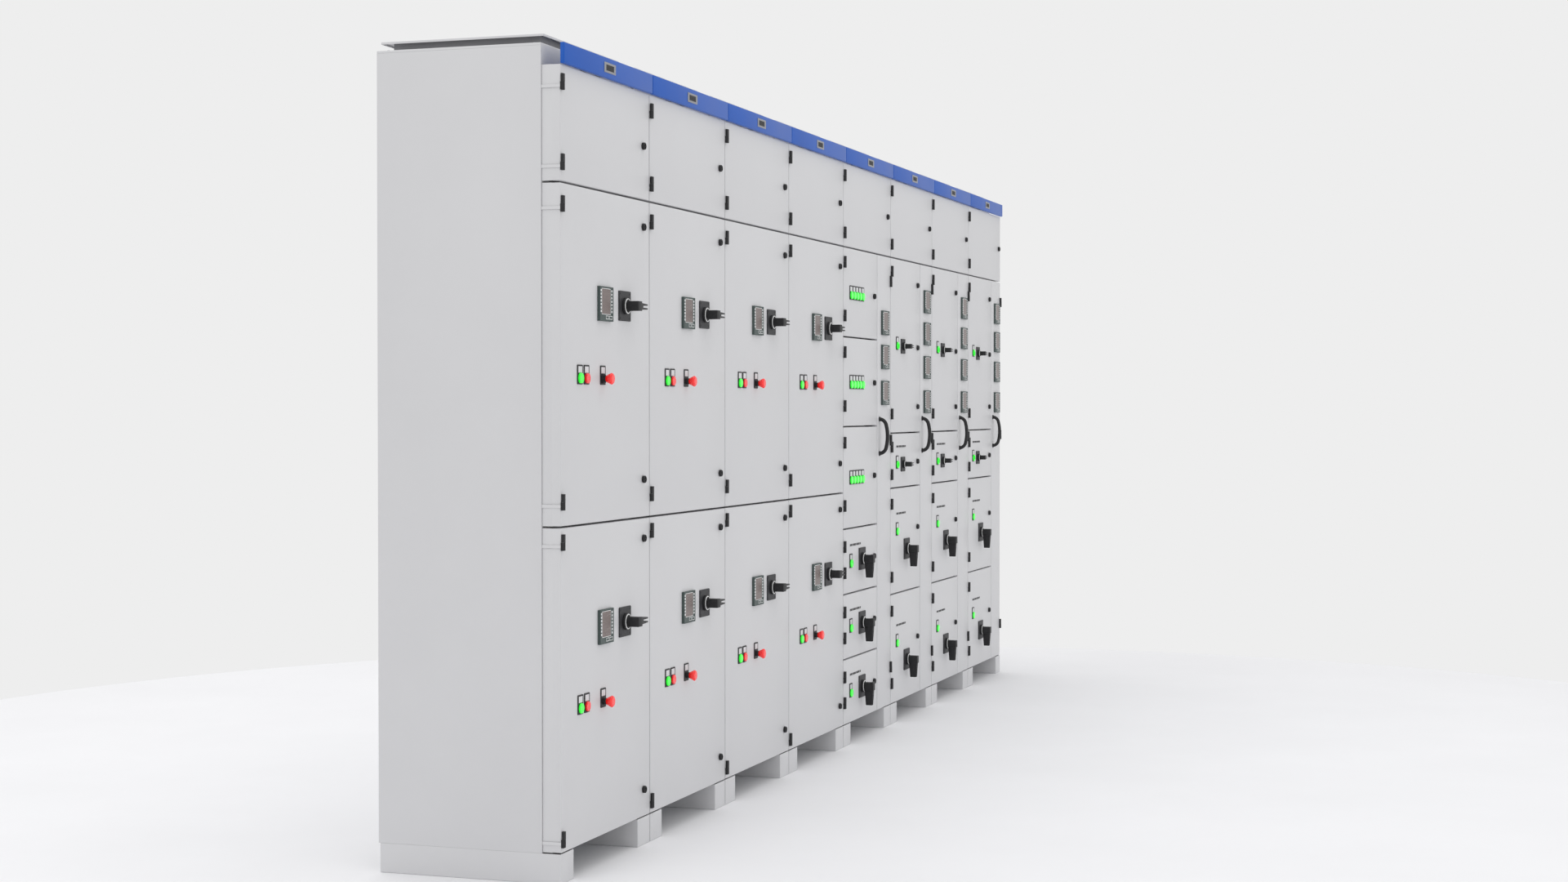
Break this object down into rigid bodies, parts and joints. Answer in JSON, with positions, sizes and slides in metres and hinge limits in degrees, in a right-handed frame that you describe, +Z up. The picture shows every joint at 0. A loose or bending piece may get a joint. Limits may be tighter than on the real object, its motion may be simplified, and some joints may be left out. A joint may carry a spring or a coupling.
{
  "type": "industrial switchboard cabinet",
  "caption": "Floor-standing low-voltage switchboard in equal bays on plinth feet, with hinged pan doors, rotary operators, meters, lamps, push-buttons, cable chambers and raised roof vents.",
  "frame": {"origin": "on the floor, under the middle of the whole box", "axes": "+X along the line from bay 1 to bay 8, +Y from the doors to the rear, +Z up"},
  "size_m": [4.784, 0.558, 2.09],
  "materials": {
    "painted_steel": "fine satin powder coat, light grey",
    "dark_steel": "dark grey matt paint",
    "blue_steel": "satin blue powder coat",
    "nameplate": "brushed plate with a blank dark field",
    "zinc_steel": "bright zinc plate",
    "copper": "bare copper bar",
    "red_moulding": "moulded polyester insulator",
    "grey_moulding": "moulded breaker case",
    "black_moulding": "moulded black polyamide",
    "green_cap": "translucent green lens",
    "red_cap": "moulded red cap",
    "meter_case": "dark green-grey moulded frame",
    "white_moulding": "white legend plate and keys"
  },
  "bodies": {
    "switchboard": {"air_breakers": "grey_moulding", "bay_frames": "painted_steel", "busbar_supports": "red_moulding", "busbars": "copper", "compartment_sheets": "zinc_steel", "end_panels": "painted_steel", "fascia_trays": "blue_steel", "feeder_breakers": "grey_moulding", "hinge_frame_halves": "black_moulding", "mounting_plates": "zinc_steel", "nameplates": "nameplate", "panel_screws": "zinc_steel", "plinth_feet": "painted_steel", "rear_panels": "painted_steel", "roof_covers": "painted_steel", "roof_sheets": "painted_steel", "vent_rings": "dark_steel"},
    "bay1_lower_door": {"bay1_lower_door": "painted_steel"},
    "bay1_upper_door": {"bay1_upper_door": "painted_steel"},
    "bay1_top_door": {"bay1_top_door": "painted_steel"},
    "bay2_lower_door": {"bay2_lower_door": "painted_steel"},
    "bay2_upper_door": {"bay2_upper_door": "painted_steel"},
    "bay2_top_door": {"bay2_top_door": "painted_steel"},
    "bay3_lower_door": {"bay3_lower_door": "painted_steel"},
    "bay3_upper_door": {"bay3_upper_door": "painted_steel"},
    "bay3_top_door": {"bay3_top_door": "painted_steel"},
    "bay4_lower_door": {"bay4_lower_door": "painted_steel"},
    "bay4_upper_door": {"bay4_upper_door": "painted_steel"},
    "bay4_top_door": {"bay4_top_door": "painted_steel"},
    "bay5_starter_low_door": {"bay5_starter_low_door": "painted_steel"},
    "bay5_starter_mid_door": {"bay5_starter_mid_door": "painted_steel"},
    "bay5_starter_high_door": {"bay5_starter_high_door": "painted_steel"},
    "bay5_signal_low_door": {"bay5_signal_low_door": "painted_steel"},
    "bay5_signal_mid_door": {"bay5_signal_mid_door": "painted_steel"},
    "bay5_signal_high_door": {"bay5_signal_high_door": "painted_steel"},
    "bay5_cable_door": {"bay5_cable_door": "painted_steel"},
    "bay5_top_door": {"bay5_top_door": "painted_steel"},
    "bay6_feeder_d_door": {"bay6_feeder_d_door": "painted_steel"},
    "bay6_feeder_c_door": {"bay6_feeder_c_door": "painted_steel"},
    "bay6_feeder_b_door": {"bay6_feeder_b_door": "painted_steel"},
    "bay6_feeder_a_door": {"bay6_feeder_a_door": "painted_steel"},
    "bay6_cable_door": {"bay6_cable_door": "painted_steel"},
    "bay6_top_door": {"bay6_top_door": "painted_steel"},
    "bay7_feeder_d_door": {"bay7_feeder_d_door": "painted_steel"},
    "bay7_feeder_c_door": {"bay7_feeder_c_door": "painted_steel"},
    "bay7_feeder_b_door": {"bay7_feeder_b_door": "painted_steel"},
    "bay7_feeder_a_door": {"bay7_feeder_a_door": "painted_steel"},
    "bay7_cable_door": {"bay7_cable_door": "painted_steel"},
    "bay7_top_door": {"bay7_top_door": "painted_steel"},
    "bay8_feeder_d_door": {"bay8_feeder_d_door": "painted_steel"},
    "bay8_feeder_c_door": {"bay8_feeder_c_door": "painted_steel"},
    "bay8_feeder_b_door": {"bay8_feeder_b_door": "painted_steel"},
    "bay8_feeder_a_door": {"bay8_feeder_a_door": "painted_steel"},
    "bay8_cable_door": {"bay8_cable_door": "painted_steel"},
    "bay8_top_door": {"bay8_top_door": "painted_steel"},
    "rotary_handle": {"rotary_handle": "black_moulding"},
    "start_button": {"start_button": "green_cap"},
    "stop_button": {"stop_button": "red_cap"},
    "emergency_stop": {"emergency_stop": "red_cap"},
    "door_lock": {"door_lock": "black_moulding"}
  },
  "joints": [
    {"name": "bay1_lower_hinge", "type": "hinge", "parent": "switchboard", "child": "bay1_lower_door", "pos_m": [-2.3865, -0.2371, 0.4745], "axis": [0, 0, -1], "range_deg": [0, 110]},
    {"name": "bay1_upper_hinge", "type": "hinge", "parent": "switchboard", "child": "bay1_upper_door", "pos_m": [-2.3865, -0.2371, 1.2975], "axis": [0, 0, -1], "range_deg": [0, 110]},
    {"name": "bay1_top_hinge", "type": "hinge", "parent": "switchboard", "child": "bay1_top_door", "pos_m": [-2.3865, -0.2371, 1.86425], "axis": [0, 0, -1], "range_deg": [0, 110]},
    {"name": "bay2_lower_hinge", "type": "hinge", "parent": "switchboard", "child": "bay2_lower_door", "pos_m": [-1.796, -0.2371, 0.4745], "axis": [0, 0, -1], "range_deg": [0, 110]},
    {"name": "bay2_upper_hinge", "type": "hinge", "parent": "switchboard", "child": "bay2_upper_door", "pos_m": [-1.796, -0.2371, 1.2975], "axis": [0, 0, -1], "range_deg": [0, 110]},
    {"name": "bay2_top_hinge", "type": "hinge", "parent": "switchboard", "child": "bay2_top_door", "pos_m": [-1.796, -0.2371, 1.86425], "axis": [0, 0, -1], "range_deg": [0, 110]},
    {"name": "bay3_lower_hinge", "type": "hinge", "parent": "switchboard", "child": "bay3_lower_door", "pos_m": [-1.196, -0.2371, 0.4745], "axis": [0, 0, -1], "range_deg": [0, 110]},
    {"name": "bay3_upper_hinge", "type": "hinge", "parent": "switchboard", "child": "bay3_upper_door", "pos_m": [-1.196, -0.2371, 1.2975], "axis": [0, 0, -1], "range_deg": [0, 110]},
    {"name": "bay3_top_hinge", "type": "hinge", "parent": "switchboard", "child": "bay3_top_door", "pos_m": [-1.196, -0.2371, 1.86425], "axis": [0, 0, -1], "range_deg": [0, 110]},
    {"name": "bay4_lower_hinge", "type": "hinge", "parent": "switchboard", "child": "bay4_lower_door", "pos_m": [-0.596, -0.2371, 0.4745], "axis": [0, 0, -1], "range_deg": [0, 110]},
    {"name": "bay4_upper_hinge", "type": "hinge", "parent": "switchboard", "child": "bay4_upper_door", "pos_m": [-0.596, -0.2371, 1.2975], "axis": [0, 0, -1], "range_deg": [0, 110]},
    {"name": "bay4_top_hinge", "type": "hinge", "parent": "switchboard", "child": "bay4_top_door", "pos_m": [-0.596, -0.2371, 1.86425], "axis": [0, 0, -1], "range_deg": [0, 110]},
    {"name": "bay5_starter_low_hinge", "type": "hinge", "parent": "switchboard", "child": "bay5_starter_low_door", "pos_m": [0.004, -0.2371, 0.187], "axis": [0, 0, -1], "range_deg": [0, 110]},
    {"name": "bay5_starter_mid_hinge", "type": "hinge", "parent": "switchboard", "child": "bay5_starter_mid_door", "pos_m": [0.004, -0.2371, 0.412], "axis": [0, 0, -1], "range_deg": [0, 110]},
    {"name": "bay5_starter_high_hinge", "type": "hinge", "parent": "switchboard", "child": "bay5_starter_high_door", "pos_m": [0.004, -0.2371, 0.6365], "axis": [0, 0, -1], "range_deg": [0, 110]},
    {"name": "bay5_signal_low_hinge", "type": "hinge", "parent": "switchboard", "child": "bay5_signal_low_door", "pos_m": [0.004, -0.2371, 0.9255], "axis": [0, 0, -1], "range_deg": [0, 110]},
    {"name": "bay5_signal_mid_hinge", "type": "hinge", "parent": "switchboard", "child": "bay5_signal_mid_door", "pos_m": [0.004, -0.2371, 1.2565], "axis": [0, 0, -1], "range_deg": [0, 110]},
    {"name": "bay5_signal_high_hinge", "type": "hinge", "parent": "switchboard", "child": "bay5_signal_high_door", "pos_m": [0.004, -0.2371, 1.5655], "axis": [0, 0, -1], "range_deg": [0, 110]},
    {"name": "bay5_cable_hinge", "type": "hinge", "parent": "switchboard", "child": "bay5_cable_door", "pos_m": [0.596, -0.2371, 0.897], "axis": [0, 0, -1], "range_deg": [-110, 0]},
    {"name": "bay5_top_hinge", "type": "hinge", "parent": "switchboard", "child": "bay5_top_door", "pos_m": [0.004, -0.2371, 1.86425], "axis": [0, 0, -1], "range_deg": [0, 110]},
    {"name": "bay6_feeder_d_hinge", "type": "hinge", "parent": "switchboard", "child": "bay6_feeder_d_door", "pos_m": [0.604, -0.2371, 0.276], "axis": [0, 0, -1], "range_deg": [0, 110]},
    {"name": "bay6_feeder_c_hinge", "type": "hinge", "parent": "switchboard", "child": "bay6_feeder_c_door", "pos_m": [0.604, -0.2371, 0.674], "axis": [0, 0, -1], "range_deg": [0, 110]},
    {"name": "bay6_feeder_b_hinge", "type": "hinge", "parent": "switchboard", "child": "bay6_feeder_b_door", "pos_m": [0.604, -0.2371, 0.9715], "axis": [0, 0, -1], "range_deg": [0, 110]},
    {"name": "bay6_feeder_a_hinge", "type": "hinge", "parent": "switchboard", "child": "bay6_feeder_a_door", "pos_m": [0.604, -0.2371, 1.3965], "axis": [0, 0, -1], "range_deg": [0, 110]},
    {"name": "bay6_cable_hinge", "type": "hinge", "parent": "switchboard", "child": "bay6_cable_door", "pos_m": [1.196, -0.2371, 0.897], "axis": [0, 0, -1], "range_deg": [-110, 0]},
    {"name": "bay6_top_hinge", "type": "hinge", "parent": "switchboard", "child": "bay6_top_door", "pos_m": [0.604, -0.2371, 1.86425], "axis": [0, 0, -1], "range_deg": [0, 110]},
    {"name": "bay7_feeder_d_hinge", "type": "hinge", "parent": "switchboard", "child": "bay7_feeder_d_door", "pos_m": [1.204, -0.2371, 0.276], "axis": [0, 0, -1], "range_deg": [0, 110]},
    {"name": "bay7_feeder_c_hinge", "type": "hinge", "parent": "switchboard", "child": "bay7_feeder_c_door", "pos_m": [1.204, -0.2371, 0.674], "axis": [0, 0, -1], "range_deg": [0, 110]},
    {"name": "bay7_feeder_b_hinge", "type": "hinge", "parent": "switchboard", "child": "bay7_feeder_b_door", "pos_m": [1.204, -0.2371, 0.9715], "axis": [0, 0, -1], "range_deg": [0, 110]},
    {"name": "bay7_feeder_a_hinge", "type": "hinge", "parent": "switchboard", "child": "bay7_feeder_a_door", "pos_m": [1.204, -0.2371, 1.3965], "axis": [0, 0, -1], "range_deg": [0, 110]},
    {"name": "bay7_cable_hinge", "type": "hinge", "parent": "switchboard", "child": "bay7_cable_door", "pos_m": [1.796, -0.2371, 0.897], "axis": [0, 0, -1], "range_deg": [-110, 0]},
    {"name": "bay7_top_hinge", "type": "hinge", "parent": "switchboard", "child": "bay7_top_door", "pos_m": [1.204, -0.2371, 1.86425], "axis": [0, 0, -1], "range_deg": [0, 110]},
    {"name": "bay8_feeder_d_hinge", "type": "hinge", "parent": "switchboard", "child": "bay8_feeder_d_door", "pos_m": [1.804, -0.2371, 0.276], "axis": [0, 0, -1], "range_deg": [0, 110]},
    {"name": "bay8_feeder_c_hinge", "type": "hinge", "parent": "switchboard", "child": "bay8_feeder_c_door", "pos_m": [1.804, -0.2371, 0.674], "axis": [0, 0, -1], "range_deg": [0, 110]},
    {"name": "bay8_feeder_b_hinge", "type": "hinge", "parent": "switchboard", "child": "bay8_feeder_b_door", "pos_m": [1.804, -0.2371, 0.9715], "axis": [0, 0, -1], "range_deg": [0, 110]},
    {"name": "bay8_feeder_a_hinge", "type": "hinge", "parent": "switchboard", "child": "bay8_feeder_a_door", "pos_m": [1.804, -0.2371, 1.3965], "axis": [0, 0, -1], "range_deg": [0, 110]},
    {"name": "bay8_cable_hinge", "type": "hinge", "parent": "switchboard", "child": "bay8_cable_door", "pos_m": [2.3865, -0.2371, 0.897], "axis": [0, 0, -1], "range_deg": [-110, 0]},
    {"name": "bay8_top_hinge", "type": "hinge", "parent": "switchboard", "child": "bay8_top_door", "pos_m": [1.804, -0.2371, 1.86425], "axis": [0, 0, -1], "range_deg": [0, 110]},
    {"name": "rotary_handle_turn", "type": "hinge", "parent": "bay1_upper_door", "child": "rotary_handle", "pos_m": [-1.981, -0.233, 1.4325], "axis": [0, 1, 0], "range_deg": [0, 90]},
    {"name": "start_button_push", "type": "slide", "parent": "bay1_upper_door", "child": "start_button", "axis": [0, 1, 0], "range_m": [0, 0.003], "stiffness_N_per_m": 400},
    {"name": "stop_button_push", "type": "slide", "parent": "bay1_upper_door", "child": "stop_button", "axis": [0, 1, 0], "range_m": [0, 0.003], "stiffness_N_per_m": 400},
    {"name": "emergency_stop_push", "type": "slide", "parent": "bay1_upper_door", "child": "emergency_stop", "axis": [0, 1, 0], "range_m": [0, 0.004]},
    {"name": "door_lock_turn", "type": "hinge", "parent": "bay1_upper_door", "child": "door_lock", "pos_m": [-1.849, -0.233, 1.648], "axis": [0, -1, 0], "range_deg": [0, 90]}
  ]
}
